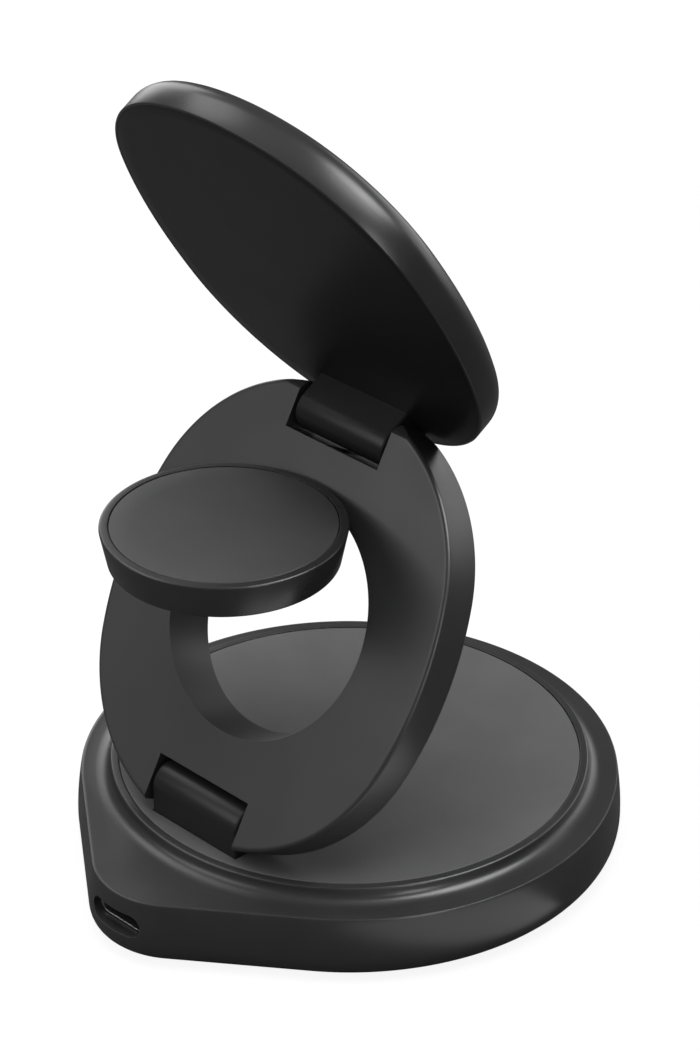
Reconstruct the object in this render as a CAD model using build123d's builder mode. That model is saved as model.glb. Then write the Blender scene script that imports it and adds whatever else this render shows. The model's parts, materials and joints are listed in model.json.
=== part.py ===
"""Folding wireless charger: a low base with an earbud pad, a leaning oval arm with a watch puck
in its round hole, and an oval phone disc on top, joined by three cross hinges.

Frame: +Z up from the table, X along the hinge axes, the lobe with the port towards -Y.
The charger stands half open: arm leaning back, puck level, disc leaning forward. All in mm."""
import os
from math import cos, radians, sin, sqrt

from build123d import *

os.makedirs("parts", exist_ok=True)

# Fits and gaps
seam = 0.08
seat_gap = 0.05
running_gap = 0.05
side_gap = 0.4
fold_gap = 0.3
notch_gap = 0.35
pocket_gap = 0.38

# Base outline at the crease: a round body with a smaller round lobe, joined by tangents
body_radius = 37.57
tip_radius = 11.78
tip_offset = 32.44

# Base wall, from the underside up: height above the table, and distance inside the crease
foot_stand = 0.4
wall_sections = (
    (foot_stand, 2.9),
    (0.7, 1.15),
    (1.2, 0.35),
    (2.0, -0.25),
    (3.5, -0.55),
    (5.7, -0.49),
    (7.8, -0.3),
    (9.65, 0.0),
)
crease_height = 9.9
crease_chamfer = 0.25

# Raised round table on the base, and the soft pad let into it
pad_height = 12.0
pad_radius = 32.22
pad_thickness = 0.8
rim_radius = 33.1
rim_round = 0.3
sweep_reach = 2.6

# Inside the base
wall_thickness = 2.2
opening_inset = 4.1
floor_thickness = 1.4
ceiling_height = 8.4
foot_inset = 5.4
foot_recess = 0.4
boss_radius = 2.4
boss_circle_radius = body_radius - 10.07
boss_spread = 45.0
screw_radius = 0.85
screw_head_radius = 1.8
screw_head_height = 0.6
screw_depth = 5.0
weight_radius = boss_circle_radius - boss_radius - 0.6
weight_thickness = 3.0
board_thickness = 1.0
board_height = 3.1
board_inset = 3.0
board_back = 5.44 - tip_offset
post_radius = 1.2
post_front_x = 6.0
post_front_y = -3.56 - tip_offset
post_back_x = 10.0
post_back_y = 3.44 - tip_offset
earbud_offset = 3.0
earbud_coil_radius = 18.0
earbud_coil_bore = 8.0
coil_thickness = 0.8
ferrite_radius = 19.0
ferrite_thickness = 0.8
coil_pocket_radius = 20.0
coil_roof = 1.0

# Charging port, a standard 24-pin socket lying flat in the tip of the lobe
port_height = 5.7
port_width = 8.94
port_thickness = 3.2
port_wall = 0.3
port_length = 7.3
port_setback = 1.5
port_gap = 0.08
port_tongue_width = 6.69
port_tongue_thickness = 0.7
port_tongue_setback = 1.0
port_block_length = 1.0

# Oval of the arm and disc: three tangent arcs a quarter
oval_half_width = 28.3
oval_half_height = 31.75
oval_side_radius = oval_half_width + 22.64
oval_end_radius = oval_half_height + 1.08
oval_corner_radius = oval_half_width - 3.07

# Hinges: the barrels of the base block and of the disc's tongue are alike
barrel_radius = 3.0
barrel_half = 8.2
barrel_edge = 0.35
sleeve_radius = 1.6
pin_radius = 1.0
pin_half = 13.0
hinge_end = 4.5
hinge_reach = oval_half_height - hinge_end
hinge_depth = 3.0
lower_axis_y = 5.58 - pad_radius
lower_axis_height = 3.72
block_foot_half = 6.0
block_foot_depth = 4.0

# Arm
arm_lean = 30.0
arm_thickness = 6.2
arm_back_round = 0.5
arm_front_round = 0.6
lip = 0.9
plate_thickness = 1.0
notch_half = barrel_half + side_gap
notch_floor = hinge_reach - barrel_radius - notch_gap
notch_bridge = 6.85
hole_radius = notch_floor - notch_bridge
hole_back_radius = hole_radius - 1.6
plate_half_height = notch_floor - lip
horn_length = hinge_end + 1.5
upper_end_radius = 3.6
upper_end_half = 14.0
lower_end_radius = 3.3
lower_end_half = 16.0
wire_slot_half = 1.2
wire_slot_skin = 0.8
channel_skin = 2.2
channel_width = 2.2
channel_angle = 75.0
channel_reach = 8.4
groove_wall = 0.7
groove_width = 1.7

# Watch puck and its hinge in the arm's hole
watch_axis_reach = hole_radius + 1.47
watch_axis_depth = 2.02
puck_radius = hole_radius - 0.75
puck_foot_radius = puck_radius - 0.9
puck_height = 5.0
puck_edge = 0.3
puck_pad_radius = puck_radius - 1.24
puck_pad_thickness = 0.7
puck_roof = 0.7
puck_cavity_radius = puck_radius - 2.9
puck_cover_thickness = 1.0
lug_radius = 1.3
lug_half = 3.7
lug_neck_top = 0.45
lug_neck_bottom = 2.2
lug_slot_half = lug_half + fold_gap
lug_slot_top = watch_axis_reach - 0.12
lug_pocket_top = watch_axis_reach + lug_radius + pocket_gap
lug_pocket_skin = watch_axis_depth - lug_radius - fold_gap
lug_pocket_floor = watch_axis_depth + lug_neck_bottom + pocket_gap
lug_slot_bottom = hole_back_radius - 3.45
watch_pin_radius = 0.6
watch_pin_half = lug_slot_half + 1.5
watch_coil_radius = puck_cavity_radius - 2.4
watch_coil_bore = 5.0
watch_magnet_radius = watch_coil_bore - 1.0
watch_ferrite_radius = puck_cavity_radius - 1.4
watch_ferrite_thickness = 0.6
watch_board_thickness = 0.8

# Phone disc
disc_tilt = 30.0
disc_inset = 0.3
disc_offset = 3.9
disc_thickness = 5.8
disc_round = 3.2
disc_wall = 2.3
disc_cavity_depth = 4.4
disc_cover_inset = 0.9
disc_cover_thickness = 1.2
disc_pad_inset = 4.6
disc_pad_thickness = 0.6
tongue_foot_half = barrel_half - 1.2
tongue_foot_back = hinge_reach + 0.95
tongue_foot_front = hinge_reach - 2.55
flange_half = barrel_half - 0.4
flange_front = hinge_reach - 8.25
flange_thickness = 1.2
disc_screw_x = 5.0
disc_screw_reach = hinge_reach - 5.75
disc_boss_radius = 2.0
disc_screw_radius = 0.7
disc_screw_head = 1.6
disc_screw_head_height = 0.7
disc_screw_length = 1.9
magnet_outer = oval_half_width - disc_wall - 2.6
magnet_inner = magnet_outer - 2.8
magnet_thickness = 1.2
phone_coil_radius = magnet_inner - 1.6
phone_coil_bore = 8.0
phone_coil_thickness = 0.9
phone_ferrite_radius = magnet_inner - 1.1
phone_ferrite_thickness = 0.6
phone_board_radius = phone_ferrite_radius - 5.5
magnet_count = 20
magnet_slit = 0.6
magnet_gap_half = 26.0

# Places that follow from the sizes above
floor_top = foot_stand + floor_thickness
foot_roof = foot_stand + foot_recess
pad_floor = pad_height - pad_thickness
channel_inner = lug_pocket_top + 0.4
channel_outer = channel_inner + channel_width
groove_low = lug_pocket_top + groove_wall
groove_high = groove_low + groove_width
lower_axis_z = pad_height + lower_axis_height
arm_up = (0, sin(radians(arm_lean)), cos(radians(arm_lean)))
arm_out = (0, -cos(radians(arm_lean)), sin(radians(arm_lean)))
arm_y = lower_axis_y + hinge_reach * arm_up[1] + hinge_depth * arm_out[1]
arm_z = lower_axis_z + hinge_reach * arm_up[2] + hinge_depth * arm_out[2]
arm_plane = Plane(origin=(0, arm_y, arm_z), x_dir=(1, 0, 0), z_dir=arm_out)
arm_side = Plane(origin=(0, arm_y, arm_z), x_dir=arm_up, z_dir=(1, 0, 0))
upper_axis_y = lower_axis_y + 2 * hinge_reach * arm_up[1]
upper_axis_z = lower_axis_z + 2 * hinge_reach * arm_up[2]
watch_axis_y = arm_y + watch_axis_reach * arm_up[1] - watch_axis_depth * arm_out[1]
watch_axis_z = arm_z + watch_axis_reach * arm_up[2] - watch_axis_depth * arm_out[2]
puck_y = watch_axis_y - watch_axis_reach
puck_z = watch_axis_z + watch_axis_depth
disc_up = (0, -sin(radians(disc_tilt)), cos(radians(disc_tilt)))
disc_in = (0, -cos(radians(disc_tilt)), -sin(radians(disc_tilt)))
disc_y = upper_axis_y + hinge_reach * disc_up[1] - disc_offset * disc_in[1]
disc_z = upper_axis_z + hinge_reach * disc_up[2] - disc_offset * disc_in[2]
disc_plane = Plane(origin=(0, disc_y, disc_z), x_dir=(1, 0, 0), z_dir=disc_in)
disc_side = Plane(origin=(0, upper_axis_y, upper_axis_z), x_dir=disc_up, z_dir=(1, 0, 0))


def teardrop(inset):
    """The base's outline, drawn this far inside the crease."""
    body = body_radius - inset
    tip = tip_radius - inset
    slope = (body_radius - tip_radius) / tip_offset
    across = sqrt(1 - slope**2)
    Circle(body)
    with Locations((0, -tip_offset)):
        Circle(tip)
    Polygon(
        (body * across, -body * slope),
        (tip * across, -tip_offset - tip * slope),
        (-tip * across, -tip_offset - tip * slope),
        (-body * across, -body * slope),
        align=None,
    )


def oval(inset, mode=Mode.ADD):
    """The arm's outline, drawn this far inside its outer edge."""
    side_x = oval_half_width - oval_side_radius
    end_y = oval_half_height - oval_end_radius
    from_side = oval_side_radius - oval_corner_radius
    from_end = oval_end_radius - oval_corner_radius
    span = sqrt(side_x**2 + end_y**2)
    along = (from_side**2 - from_end**2 + span**2) / (2 * span)
    aside = sqrt(from_side**2 - along**2)
    corner_x = side_x - side_x / span * along - end_y / span * aside
    corner_y = end_y / span * along - side_x / span * aside
    side_turn = ((corner_x - side_x) / from_side, corner_y / from_side)
    end_turn = (corner_x / from_end, (corner_y - end_y) / from_end)
    corner = oval_corner_radius - inset
    low = (corner_x + corner * side_turn[0], corner_y + corner * side_turn[1])
    high = (corner_x + corner * end_turn[0], corner_y + corner * end_turn[1])
    turn = Vector(side_turn[0] + end_turn[0], side_turn[1] + end_turn[1]).normalized()
    middle = (corner_x + corner * turn.X, corner_y + corner * turn.Y)
    with BuildLine() as outline:
        for sign in (1, -1):
            ThreePointArc(
                (-high[0], sign * high[1]),
                (0, sign * (oval_half_height - inset)),
                (high[0], sign * high[1]),
            )
            ThreePointArc(
                (sign * low[0], -low[1]),
                (sign * (oval_half_width - inset), 0),
                (sign * low[0], low[1]),
            )
            for flip in (1, -1):
                ThreePointArc(
                    (flip * high[0], sign * high[1]),
                    (flip * middle[0], sign * middle[1]),
                    (flip * low[0], sign * low[1]),
                )
    make_face(outline.edges(), mode=mode)


def block(x_range, y_range, mode=Mode.ADD):
    """A rectangle between two x values and two y values."""
    with Locations(((x_range[0] + x_range[1]) / 2, (y_range[0] + y_range[1]) / 2)):
        Rectangle(x_range[1] - x_range[0], y_range[1] - y_range[0], mode=mode)


def back_plan(grow):
    """The arm's back plate, grown by this much all round."""
    edge = lip - grow
    oval(edge)
    Circle(hole_back_radius + edge, mode=Mode.SUBTRACT)
    across = (-oval_half_width, oval_half_width)
    half = plate_half_height + grow
    block(across, (half, oval_half_height), Mode.SUBTRACT)
    block(across, (-oval_half_height, -half), Mode.SUBTRACT)


# Base housing: smooth wall, raised round table, hollow below
with BuildPart() as base_housing:
    for height, inset in wall_sections:
        with BuildSketch(Plane.XY.offset(height)):
            teardrop(inset)
    loft()
    with BuildSketch(Plane.XY.offset(crease_height - crease_chamfer)):
        teardrop(0)
    with BuildSketch(Plane.XY.offset(crease_height)):
        teardrop(crease_chamfer)
    loft(ruled=True)
    with BuildSketch(Plane.XZ):
        with BuildLine():
            shoulder = rim_radius + rim_round
            foot = shoulder + sweep_reach
            quarter = 1 - sqrt(0.5)
            Bezier(
                (shoulder, pad_height - rim_round),
                (shoulder, crease_height),
                (foot, crease_height),
            )
            Polyline(
                (foot, crease_height),
                (foot, ceiling_height),
                (0, ceiling_height),
                (0, pad_height),
                (rim_radius, pad_height),
            )
            ThreePointArc(
                (rim_radius, pad_height),
                (shoulder - quarter * rim_round, pad_height - quarter * rim_round),
                (shoulder, pad_height - rim_round),
            )
        make_face()
    revolve(axis=Axis.Z)
    with BuildSketch(Plane.XY.offset(pad_floor)):
        Circle(pad_radius + seam)
    extrude(amount=pad_thickness, mode=Mode.SUBTRACT)
    with BuildSketch(Plane.XY.offset(floor_top)):
        teardrop(wall_thickness)
    extrude(amount=ceiling_height - floor_top, mode=Mode.SUBTRACT)
    with BuildSketch(Plane.XY.offset(foot_stand)):
        teardrop(opening_inset)
    extrude(amount=floor_thickness, mode=Mode.SUBTRACT)
    with BuildSketch(Plane.XY.offset(ceiling_height)):
        with Locations((0, earbud_offset)):
            Circle(coil_pocket_radius)
    extrude(amount=pad_floor - coil_roof - ceiling_height, mode=Mode.SUBTRACT)
    with BuildSketch(Plane.XY.offset(floor_top)):
        with PolarLocations(boss_circle_radius, 4, start_angle=boss_spread):
            Circle(boss_radius)
    extrude(amount=ceiling_height - floor_top)
    with BuildSketch(Plane.XY.offset(floor_top)):
        with PolarLocations(boss_circle_radius, 4, start_angle=boss_spread):
            Circle(screw_radius + seat_gap)
    extrude(amount=screw_depth, mode=Mode.SUBTRACT)
    with BuildSketch(Plane.XY.offset(ceiling_height)):
        with Locations((0, lower_axis_y)):
            Rectangle(2 * (block_foot_half + seat_gap), block_foot_depth + 2 * seat_gap)
    extrude(amount=pad_floor - ceiling_height, mode=Mode.SUBTRACT)
    with BuildSketch(Plane.XZ.offset(tip_offset)):
        with Locations((0, port_height)):
            SlotOverall(port_width + 2 * port_gap, port_thickness + 2 * port_gap)
    extrude(amount=2 * tip_radius, mode=Mode.SUBTRACT)
base_housing.part.label = "base_housing"
export_step(base_housing.part, "parts/base_housing.step")

# Soft pad on the base, cut out round the hinge block
with BuildPart() as base_pad:
    with BuildSketch(Plane.XY.offset(pad_floor)):
        Circle(pad_radius)
        with Locations((0, lower_axis_y)):
            Rectangle(2 * (barrel_half + seam), 2 * (barrel_radius + seam), mode=Mode.SUBTRACT)
    extrude(amount=pad_thickness)
base_pad.part.label = "base_pad"
export_step(base_pad.part, "parts/base_pad.step")

# Bottom cover with the recess for the foot sheet, screw holes and board posts
with BuildPart() as base_bottom_cover:
    with BuildSketch(Plane.XY.offset(foot_stand)):
        teardrop(opening_inset + seam)
    extrude(amount=floor_thickness)
    with BuildSketch(Plane.XY.offset(foot_stand)):
        teardrop(foot_inset)
    extrude(amount=foot_recess, mode=Mode.SUBTRACT)
    with BuildSketch(Plane.XY.offset(foot_roof)):
        with PolarLocations(boss_circle_radius, 4, start_angle=boss_spread):
            Circle(screw_head_radius + seat_gap)
    extrude(amount=screw_head_height, mode=Mode.SUBTRACT)
    with BuildSketch(Plane.XY.offset(foot_roof)):
        with PolarLocations(boss_circle_radius, 4, start_angle=boss_spread):
            Circle(screw_radius + seat_gap)
    extrude(amount=floor_thickness, mode=Mode.SUBTRACT)
    with BuildSketch(Plane.XY.offset(floor_top)):
        with Locations(
            (post_front_x, post_front_y),
            (-post_front_x, post_front_y),
            (post_back_x, post_back_y),
            (-post_back_x, post_back_y),
        ):
            Circle(post_radius)
    extrude(amount=board_height - floor_top)
base_bottom_cover.part.label = "base_bottom_cover"
export_step(base_bottom_cover.part, "parts/base_bottom_cover.step")

# Rubber foot sheet that the charger stands on
with BuildPart() as foot_sheet:
    with BuildSketch():
        teardrop(foot_inset + seam)
    extrude(amount=foot_roof)
foot_sheet.part.label = "foot_sheet"
export_step(foot_sheet.part, "parts/foot_sheet.step")

# Steel weight on the floor of the base
with BuildPart() as base_weight:
    with BuildSketch(Plane.XY.offset(floor_top)):
        Circle(weight_radius)
    extrude(amount=weight_thickness)
base_weight.part.label = "base_weight"
export_step(base_weight.part, "parts/base_weight.step")

# Circuit board in the lobe
with BuildPart() as base_circuit_board:
    with BuildSketch(Plane.XY.offset(board_height)):
        teardrop(board_inset)
        block((-body_radius, body_radius), (board_back, body_radius), Mode.SUBTRACT)
    extrude(amount=board_thickness)
base_circuit_board.part.label = "base_circuit_board"
export_step(base_circuit_board.part, "parts/base_circuit_board.step")

# Metal shell of the port
port_mouth = tip_offset + tip_radius - port_setback
port_back = port_mouth - port_length
with BuildPart() as usb_port_shell:
    with BuildSketch(Plane.XZ.offset(port_back)):
        with Locations((0, port_height)):
            SlotOverall(port_width, port_thickness)
            SlotOverall(port_width - 2 * port_wall, port_thickness - 2 * port_wall, mode=Mode.SUBTRACT)
    extrude(amount=port_length)
usb_port_shell.part.label = "usb_port_shell"
export_step(usb_port_shell.part, "parts/usb_port_shell.step")

# Plastic tongue of the port on its back block
with BuildPart() as usb_port_tongue:
    with BuildSketch(Plane.XZ.offset(port_back)):
        with Locations((0, port_height)):
            inner_gap = port_wall + seat_gap
            SlotOverall(port_width - 2 * inner_gap, port_thickness - 2 * inner_gap)
    extrude(amount=port_block_length)
    with BuildSketch(Plane.XZ.offset(port_back)):
        with Locations((0, port_height)):
            Rectangle(port_tongue_width, port_tongue_thickness)
    extrude(amount=port_length - port_tongue_setback)
usb_port_tongue.part.label = "usb_port_tongue"
export_step(usb_port_tongue.part, "parts/usb_port_tongue.step")

# Earbud charging coil and its ferrite under the pad
coil_top = pad_floor - coil_roof
with BuildPart() as earbud_coil:
    with BuildSketch(Plane.XY.offset(coil_top)):
        with Locations((0, earbud_offset)):
            Circle(earbud_coil_radius)
            Circle(earbud_coil_bore, mode=Mode.SUBTRACT)
    extrude(amount=-coil_thickness)
earbud_coil.part.label = "earbud_coil"
export_step(earbud_coil.part, "parts/earbud_coil.step")

with BuildPart() as earbud_ferrite:
    with BuildSketch(Plane.XY.offset(coil_top - coil_thickness)):
        with Locations((0, earbud_offset)):
            Circle(ferrite_radius)
    extrude(amount=-ferrite_thickness)
earbud_ferrite.part.label = "earbud_ferrite"
export_step(earbud_ferrite.part, "parts/earbud_ferrite.step")

# Four screws of the bottom cover
with BuildPart() as base_screws:
    with BuildSketch(Plane.XY.offset(foot_roof)):
        with PolarLocations(boss_circle_radius, 4, start_angle=boss_spread):
            Circle(screw_head_radius)
    extrude(amount=screw_head_height)
    with BuildSketch(Plane.XY.offset(foot_roof)):
        with PolarLocations(boss_circle_radius, 4, start_angle=boss_spread):
            Circle(screw_radius)
    extrude(amount=screw_depth)
base_screws.part.label = "base_screws"
export_step(base_screws.part, "parts/base_screws.step")

# Hinge block that stands on the base and carries the arm
with BuildPart() as lower_hinge_block:
    with BuildSketch(Plane.YZ):
        with Locations((lower_axis_y, lower_axis_z)):
            Circle(barrel_radius)
        half = (lower_axis_y - barrel_radius, lower_axis_y + barrel_radius)
        block(half, (pad_floor, lower_axis_z))
    extrude(amount=barrel_half, both=True)
    fillet(lower_hinge_block.faces().filter_by(Axis.X).edges(), barrel_edge)
    with BuildSketch(Plane.XY.offset(ceiling_height)):
        with Locations((0, lower_axis_y)):
            Rectangle(2 * block_foot_half, block_foot_depth)
    extrude(amount=pad_thickness + pad_floor - ceiling_height)
    with BuildSketch(Plane.YZ):
        with Locations((lower_axis_y, lower_axis_z)):
            Circle(sleeve_radius)
    extrude(amount=barrel_half, both=True, mode=Mode.SUBTRACT)
lower_hinge_block.part.label = "lower_hinge_block"
export_step(lower_hinge_block.part, "parts/lower_hinge_block.step")

# Bronze friction sleeves in the two barrels
with BuildPart() as lower_hinge_sleeve:
    with BuildSketch(Plane.YZ):
        with Locations((lower_axis_y, lower_axis_z)):
            Circle(sleeve_radius)
            Circle(pin_radius + running_gap, mode=Mode.SUBTRACT)
    extrude(amount=barrel_half, both=True)
lower_hinge_sleeve.part.label = "lower_hinge_sleeve"
export_step(lower_hinge_sleeve.part, "parts/lower_hinge_sleeve.step")

with BuildPart() as upper_hinge_sleeve:
    with BuildSketch(Plane.YZ):
        with Locations((upper_axis_y, upper_axis_z)):
            Circle(sleeve_radius)
            Circle(pin_radius + running_gap, mode=Mode.SUBTRACT)
    extrude(amount=barrel_half, both=True)
upper_hinge_sleeve.part.label = "upper_hinge_sleeve"
export_step(upper_hinge_sleeve.part, "parts/upper_hinge_sleeve.step")

# Pins held in the arm: through both barrels, and through the puck's lug
with BuildPart() as lower_hinge_pin:
    with BuildSketch(Plane.YZ):
        with Locations((lower_axis_y, lower_axis_z)):
            Circle(pin_radius)
    extrude(amount=pin_half, both=True)
lower_hinge_pin.part.label = "lower_hinge_pin"
export_step(lower_hinge_pin.part, "parts/lower_hinge_pin.step")

with BuildPart() as upper_hinge_pin:
    with BuildSketch(Plane.YZ):
        with Locations((upper_axis_y, upper_axis_z)):
            Circle(pin_radius)
    extrude(amount=pin_half, both=True)
upper_hinge_pin.part.label = "upper_hinge_pin"
export_step(upper_hinge_pin.part, "parts/upper_hinge_pin.step")

with BuildPart() as watch_hinge_pin:
    with BuildSketch(Plane.YZ):
        with Locations((watch_axis_y, watch_axis_z)):
            Circle(watch_pin_radius)
    extrude(amount=watch_pin_half, both=True)
watch_hinge_pin.part.label = "watch_hinge_pin"
export_step(watch_hinge_pin.part, "parts/watch_hinge_pin.step")

# Arm shell: tapered hole, hinge notches with rounded horns, hidden lug pocket, wiring channel
plate_level = arm_thickness - plate_thickness
with BuildPart() as arm_shell:
    with BuildSketch(arm_plane.offset(-arm_thickness)):
        oval(0)
    extrude(amount=arm_thickness)
    arm_axis = Axis((0, arm_y, arm_z), arm_out)
    fillet(arm_shell.faces().sort_by(arm_axis)[0].edges(), arm_back_round)
    fillet(arm_shell.faces().sort_by(arm_axis)[-1].edges(), arm_front_round)
    with Locations(arm_plane.offset(-arm_thickness / 2)):
        Cone(hole_back_radius, hole_radius, arm_thickness, mode=Mode.SUBTRACT)
    with BuildSketch(arm_plane):
        notch = (-notch_half, notch_half)
        block(notch, (notch_floor, oval_half_height + 1))
        block(notch, (-oval_half_height - 1, -notch_floor))
    extrude(amount=-arm_thickness, mode=Mode.SUBTRACT)
    pocket = (-lug_slot_half, lug_slot_half)
    with BuildSketch(arm_plane):
        block(pocket, (lug_slot_bottom, lug_slot_top))
    extrude(amount=-lug_pocket_floor, mode=Mode.SUBTRACT)
    with BuildSketch(arm_plane.offset(-lug_pocket_skin)):
        block(pocket, (lug_slot_bottom, lug_pocket_top))
    extrude(amount=lug_pocket_skin - lug_pocket_floor, mode=Mode.SUBTRACT)
    with BuildSketch(arm_side):
        block((hinge_reach, hinge_reach + horn_length), (-arm_thickness - 1, 1))
        with Locations((hinge_reach, -hinge_depth)):
            Circle(upper_end_radius, mode=Mode.SUBTRACT)
    extrude(amount=upper_end_half, both=True, mode=Mode.SUBTRACT)
    with BuildSketch(arm_side):
        block((-hinge_reach - horn_length, -hinge_reach), (-arm_thickness - 1, -hinge_depth))
        with Locations((-hinge_reach, -hinge_depth)):
            Circle(lower_end_radius, mode=Mode.SUBTRACT)
    extrude(amount=lower_end_half, both=True, mode=Mode.SUBTRACT)
    with BuildSketch(arm_plane.offset(-arm_thickness)):
        back_plan(seam)
    extrude(amount=plate_thickness, mode=Mode.SUBTRACT)
    with BuildSketch(arm_plane.offset(-wire_slot_skin)):
        block((-wire_slot_half, wire_slot_half), (lug_slot_top, notch_floor + 1))
        block((-wire_slot_half, wire_slot_half), (-notch_floor - 1, -groove_low))
    extrude(amount=wire_slot_skin - plate_level, mode=Mode.SUBTRACT)
    with BuildSketch(arm_plane.offset(-channel_skin)):
        Circle(channel_outer)
        Circle(channel_inner, mode=Mode.SUBTRACT)
        reach = 2 * channel_outer
        rise = radians(channel_angle)
        Polygon(
            (0, 0),
            (reach * cos(rise), reach * sin(rise)),
            (reach, reach),
            (reach, -reach),
            (reach * cos(rise), -reach * sin(rise)),
            align=None,
            mode=Mode.INTERSECT,
        )
        block((-wire_slot_half, channel_reach), (groove_low, groove_high))
        block((-wire_slot_half, channel_reach), (-groove_high, -groove_low))
    extrude(amount=channel_skin - plate_level, mode=Mode.SUBTRACT)
    with BuildSketch(arm_side):
        with Locations((hinge_reach, -hinge_depth), (-hinge_reach, -hinge_depth)):
            Circle(pin_radius)
    extrude(amount=pin_half, both=True, mode=Mode.SUBTRACT)
    with BuildSketch(arm_side):
        with Locations((watch_axis_reach, -watch_axis_depth)):
            Circle(watch_pin_radius)
    extrude(amount=watch_pin_half, both=True, mode=Mode.SUBTRACT)
arm_shell.part.label = "arm_shell"
export_step(arm_shell.part, "parts/arm_shell.step")

# Back plate seated inside the arm's lip, over the wiring channel
with BuildPart() as arm_back_plate:
    with BuildSketch(arm_plane.offset(-arm_thickness)):
        back_plan(0)
    extrude(amount=plate_thickness)
arm_back_plate.part.label = "arm_back_plate"
export_step(arm_back_plate.part, "parts/arm_back_plate.step")

# Watch puck: tapered round housing with a hinge lug
puck_plane = Plane(origin=(0, puck_y, puck_z))
coil_level = puck_pad_thickness + puck_roof
with BuildPart() as puck_housing:
    with Locations(puck_plane.offset(-puck_height / 2)):
        Cone(puck_foot_radius, puck_radius, puck_height)
    fillet(puck_housing.faces().sort_by(Axis.Z)[-1].edges(), puck_edge)
    fillet(puck_housing.faces().sort_by(Axis.Z)[0].edges(), puck_edge)
    with BuildSketch(Plane.YZ):
        with Locations((watch_axis_y, watch_axis_z)):
            Circle(lug_radius)
        neck = (puck_y + puck_cavity_radius + 1, watch_axis_y)
        block(neck, (watch_axis_z - lug_neck_bottom, watch_axis_z - lug_neck_top))
    extrude(amount=lug_half, both=True)
    with BuildSketch(puck_plane):
        Circle(puck_pad_radius + seam)
    extrude(amount=-puck_pad_thickness, mode=Mode.SUBTRACT)
    with BuildSketch(puck_plane.offset(-puck_height)):
        Circle(puck_cavity_radius)
    extrude(amount=puck_height - coil_level, mode=Mode.SUBTRACT)
    with BuildSketch(Plane.YZ):
        with Locations((watch_axis_y, watch_axis_z)):
            Circle(watch_pin_radius + running_gap)
    extrude(amount=lug_half, both=True, mode=Mode.SUBTRACT)
puck_housing.part.label = "puck_housing"
export_step(puck_housing.part, "parts/puck_housing.step")

with BuildPart() as puck_pad:
    with BuildSketch(puck_plane):
        Circle(puck_pad_radius)
    extrude(amount=-puck_pad_thickness)
puck_pad.part.label = "puck_pad"
export_step(puck_pad.part, "parts/puck_pad.step")

with BuildPart() as puck_bottom_cover:
    with BuildSketch(puck_plane.offset(-puck_height)):
        Circle(puck_cavity_radius - seat_gap)
    extrude(amount=puck_cover_thickness)
puck_bottom_cover.part.label = "puck_bottom_cover"
export_step(puck_bottom_cover.part, "parts/puck_bottom_cover.step")

# Inside the puck: coil round a magnet, ferrite, board
with BuildPart() as watch_coil:
    with BuildSketch(puck_plane.offset(-coil_level)):
        Circle(watch_coil_radius)
        Circle(watch_coil_bore, mode=Mode.SUBTRACT)
    extrude(amount=-coil_thickness)
watch_coil.part.label = "watch_coil"
export_step(watch_coil.part, "parts/watch_coil.step")

with BuildPart() as watch_magnet:
    with BuildSketch(puck_plane.offset(-coil_level)):
        Circle(watch_magnet_radius)
    extrude(amount=-coil_thickness)
watch_magnet.part.label = "watch_magnet"
export_step(watch_magnet.part, "parts/watch_magnet.step")

ferrite_level = coil_level + coil_thickness
with BuildPart() as watch_ferrite:
    with BuildSketch(puck_plane.offset(-ferrite_level)):
        Circle(watch_ferrite_radius)
    extrude(amount=-watch_ferrite_thickness)
watch_ferrite.part.label = "watch_ferrite"
export_step(watch_ferrite.part, "parts/watch_ferrite.step")

with BuildPart() as watch_circuit_board:
    with BuildSketch(puck_plane.offset(-ferrite_level - watch_ferrite_thickness)):
        Circle(watch_ferrite_radius)
    extrude(amount=-watch_board_thickness)
watch_circuit_board.part.label = "watch_circuit_board"
export_step(watch_circuit_board.part, "parts/watch_circuit_board.step")

# Phone disc: bowl with a full outer rounding, open towards the arm
disc_floor = disc_plane.offset(-disc_cavity_depth)
screw_places = ((disc_screw_x, -disc_screw_reach), (-disc_screw_x, -disc_screw_reach))
with BuildPart() as disc_shell:
    with BuildSketch(disc_plane):
        oval(disc_inset)
    extrude(amount=-disc_thickness)
    disc_axis = Axis((0, disc_y, disc_z), disc_in)
    fillet(disc_shell.faces().sort_by(disc_axis)[0].edges(), disc_round)
    with BuildSketch(disc_plane):
        oval(disc_wall)
    extrude(amount=-disc_cavity_depth, mode=Mode.SUBTRACT)
    with BuildSketch(disc_plane):
        oval(disc_cover_inset - seam)
    extrude(amount=-disc_cover_thickness, mode=Mode.SUBTRACT)
    with BuildSketch(disc_plane.offset(-disc_thickness)):
        oval(disc_pad_inset - seam)
    extrude(amount=disc_pad_thickness, mode=Mode.SUBTRACT)
    with BuildSketch(disc_floor):
        with Locations(*screw_places):
            Circle(disc_boss_radius)
            Circle(disc_screw_radius + seat_gap, mode=Mode.SUBTRACT)
    extrude(amount=disc_cavity_depth - disc_cover_thickness - flange_thickness)
disc_shell.part.label = "disc_shell"
export_step(disc_shell.part, "parts/disc_shell.step")

# Cover of the disc's inner side, slotted for the hinge tongue's foot
tongue_foot = (-tongue_foot_back, -tongue_foot_front)
with BuildPart() as disc_inner_cover:
    with BuildSketch(disc_plane):
        oval(disc_cover_inset)
        half = tongue_foot_half + seat_gap
        block((-half, half), (tongue_foot[0] - seat_gap, tongue_foot[1] + seat_gap), Mode.SUBTRACT)
    extrude(amount=-disc_cover_thickness)
disc_inner_cover.part.label = "disc_inner_cover"
export_step(disc_inner_cover.part, "parts/disc_inner_cover.step")

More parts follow.
